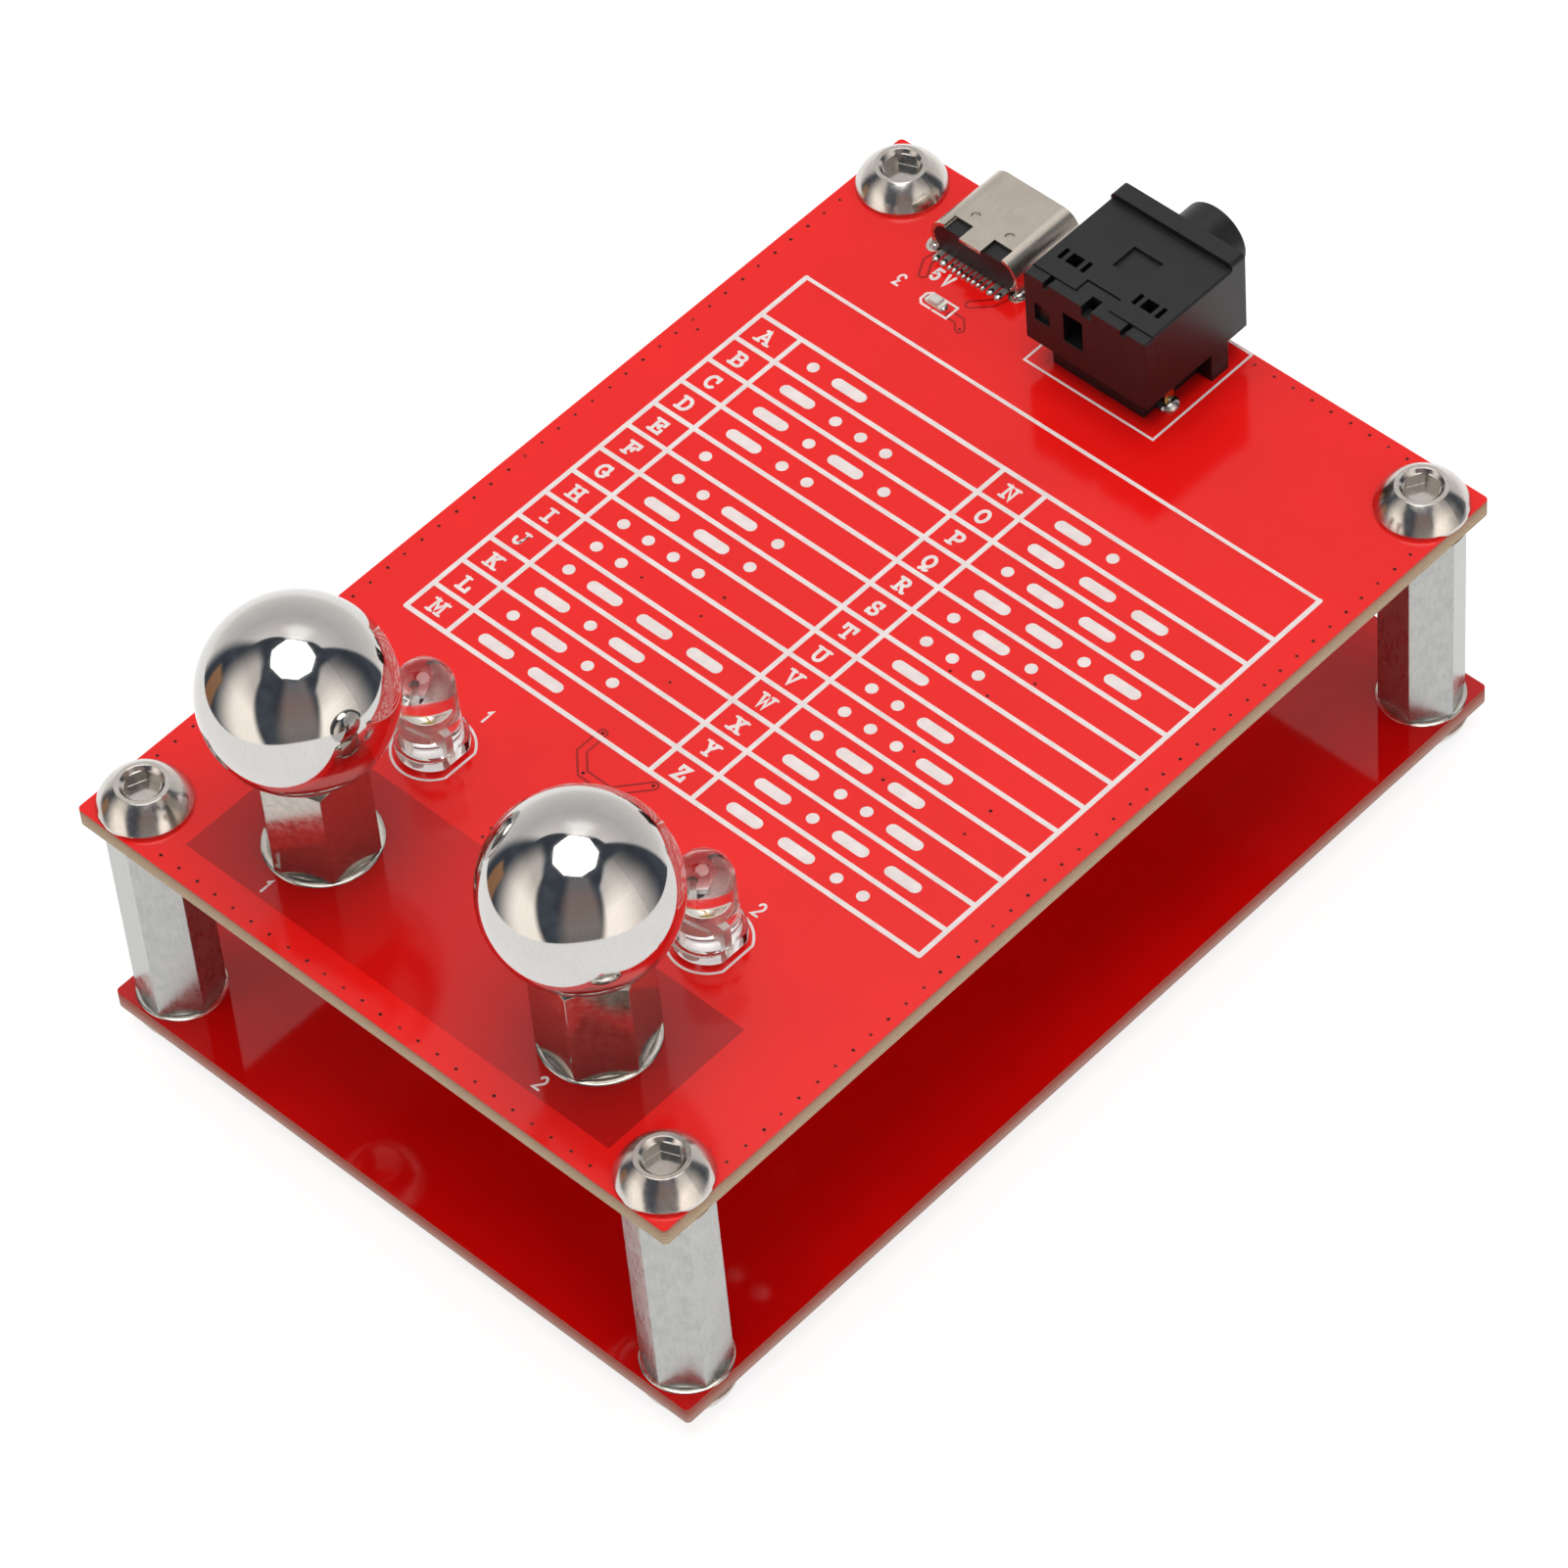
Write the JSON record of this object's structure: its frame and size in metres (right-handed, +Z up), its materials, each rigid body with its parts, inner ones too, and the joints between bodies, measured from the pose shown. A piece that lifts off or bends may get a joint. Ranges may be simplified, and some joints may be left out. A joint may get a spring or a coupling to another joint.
{
  "type": "automatic telegraph key",
  "caption": "Touch-sensing automatic telegraph key: stacked circuit boards on hex pillars, steel touch balls on posts, clear lamps, and power and key sockets at the rear edge.",
  "frame": {"origin": "centre of the bounding box in X and Y, on the plane that the lower screw heads stand on", "axes": "+X to the operator's right, +Y from the touch balls to the sockets, +Z up"},
  "size_m": [0.0604, 0.0936, 0.0493],
  "materials": {
    "red_board": "glossy red solder mask on glass-fibre board",
    "zinc": "zinc plated, slightly rough",
    "steel": "bright turned steel",
    "polished": "mirror polish",
    "clear_resin": "water-clear epoxy",
    "tinned": "tinned steel",
    "die": "lamp die",
    "lamp_base": "pale laminate",
    "lamp_resin": "clear moulded resin",
    "shell_metal": "satin nickel plating",
    "black_plastic": "matt black moulding",
    "plated_contact": "plated spring bronze",
    "resistor": "glazed black",
    "capacitor": "fired tan",
    "solder": "bright solder"
  },
  "bodies": {
    "key": {"top_board": "red_board", "bottom_board": "red_board", "front_left_pillar": "zinc", "front_right_pillar": "zinc", "rear_left_pillar": "zinc", "rear_right_pillar": "zinc", "left_touch_post": "zinc", "right_touch_post": "zinc", "top_screws": "steel", "bottom_screws": "steel", "post_screws": "steel", "left_ball_stud": "steel", "right_ball_stud": "steel", "left_touch_ball": "polished", "right_touch_ball": "polished", "left_lamp_lens": "clear_resin", "right_lamp_lens": "clear_resin", "left_lamp_leads": "tinned", "right_lamp_leads": "tinned", "chip_legs": "tinned", "lamp_dies": "die", "power_lamp_base": "lamp_base", "power_lamp_lens": "lamp_resin", "usb_shell": "shell_metal", "usb_insulator": "black_plastic", "jack_housing": "black_plastic", "jack_base": "black_plastic", "touch_chips": "black_plastic", "switch_chips": "black_plastic", "usb_contacts": "plated_contact", "tip_terminal": "plated_contact", "ring_terminal": "plated_contact", "sleeve_terminal": "plated_contact", "resistors": "resistor", "capacitors": "capacitor", "solder_joints": "solder"},
    "tip_leaf": {"tip_leaf": "plated_contact"},
    "ring_leaf": {"ring_leaf": "plated_contact"},
    "sleeve_leaf": {"sleeve_leaf": "plated_contact"}
  },
  "joints": [
    {"name": "tip_leaf_flex", "type": "hinge", "parent": "key", "child": "tip_leaf", "pos_m": [0.00466, 0.0388, 0.0314], "axis": [0, 0, 1], "range_deg": [0, 6], "stiffness_Nm_per_rad": 0.01},
    {"name": "ring_leaf_flex", "type": "hinge", "parent": "key", "child": "ring_leaf", "pos_m": [-0.00466, 0.0336, 0.0314], "axis": [0, 0, 1], "range_deg": [0, 6], "stiffness_Nm_per_rad": 0.01},
    {"name": "sleeve_leaf_flex", "type": "hinge", "parent": "key", "child": "sleeve_leaf", "pos_m": [0, 0.0364, 0.02887], "axis": [-1, 0, 0], "range_deg": [0, 7], "stiffness_Nm_per_rad": 0.01}
  ]
}
